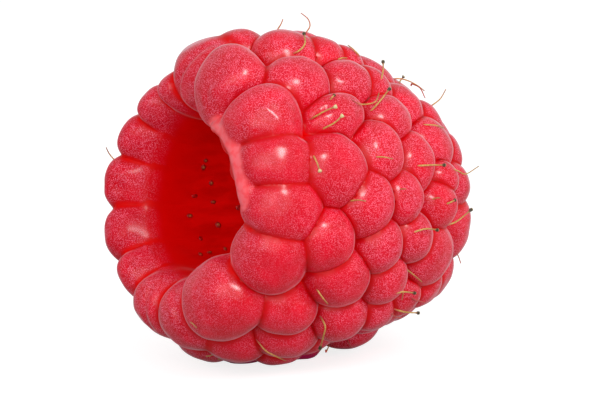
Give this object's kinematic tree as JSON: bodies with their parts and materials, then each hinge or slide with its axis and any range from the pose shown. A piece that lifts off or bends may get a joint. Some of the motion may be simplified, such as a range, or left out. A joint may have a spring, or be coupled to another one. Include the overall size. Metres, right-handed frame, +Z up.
{
  "type": "raspberry",
  "caption": "Ripe raspberry as picked, lying on its side: drupelets grown together round an open hollow, with dried styles standing between them.",
  "frame": {"origin": "on the surface that the berry rests on, below the middle of its box", "axes": "+X from the open rim towards the closed tip, +Z up, +Y to the far side when the open rim is on the left"},
  "size_m": [0.0224, 0.0216, 0.022],
  "materials": {
    "flesh": "ripe red skin under a fine pale down, soft sheen",
    "dried_style": "dry golden brown bristle, red at its foot"
  },
  "bodies": {
    "root": {"berry": "flesh", "dried_style_01": "dried_style", "dried_style_02": "dried_style", "dried_style_03": "dried_style", "dried_style_04": "dried_style", "dried_style_05": "dried_style", "dried_style_06": "dried_style", "dried_style_07": "dried_style", "dried_style_08": "dried_style", "dried_style_09": "dried_style", "dried_style_10": "dried_style", "dried_style_11": "dried_style", "dried_style_12": "dried_style", "dried_style_13": "dried_style", "dried_style_14": "dried_style", "dried_style_15": "dried_style", "dried_style_16": "dried_style", "dried_style_17": "dried_style", "dried_style_18": "dried_style", "dried_style_19": "dried_style", "dried_style_20": "dried_style", "dried_style_21": "dried_style", "dried_style_22": "dried_style", "dried_style_23": "dried_style", "dried_style_24": "dried_style", "dried_style_25": "dried_style", "dried_style_26": "dried_style", "dried_style_27": "dried_style", "dried_style_28": "dried_style", "dried_style_29": "dried_style", "dried_style_30": "dried_style", "dried_style_31": "dried_style", "dried_style_32": "dried_style", "dried_style_33": "dried_style", "dried_style_34": "dried_style", "dried_style_35": "dried_style", "dried_style_36": "dried_style", "dried_style_37": "dried_style", "dried_style_38": "dried_style", "dried_style_39": "dried_style", "dried_style_40": "dried_style", "dried_style_41": "dried_style", "dried_style_42": "dried_style", "dried_style_43": "dried_style", "dried_style_44": "dried_style", "dried_style_45": "dried_style", "dried_style_46": "dried_style", "dried_style_47": "dried_style", "dried_style_48": "dried_style", "dried_style_49": "dried_style", "dried_style_50": "dried_style", "dried_style_51": "dried_style", "dried_style_52": "dried_style", "dried_style_53": "dried_style", "dried_style_54": "dried_style", "dried_style_55": "dried_style", "dried_style_56": "dried_style"}
  },
  "joints": []
}
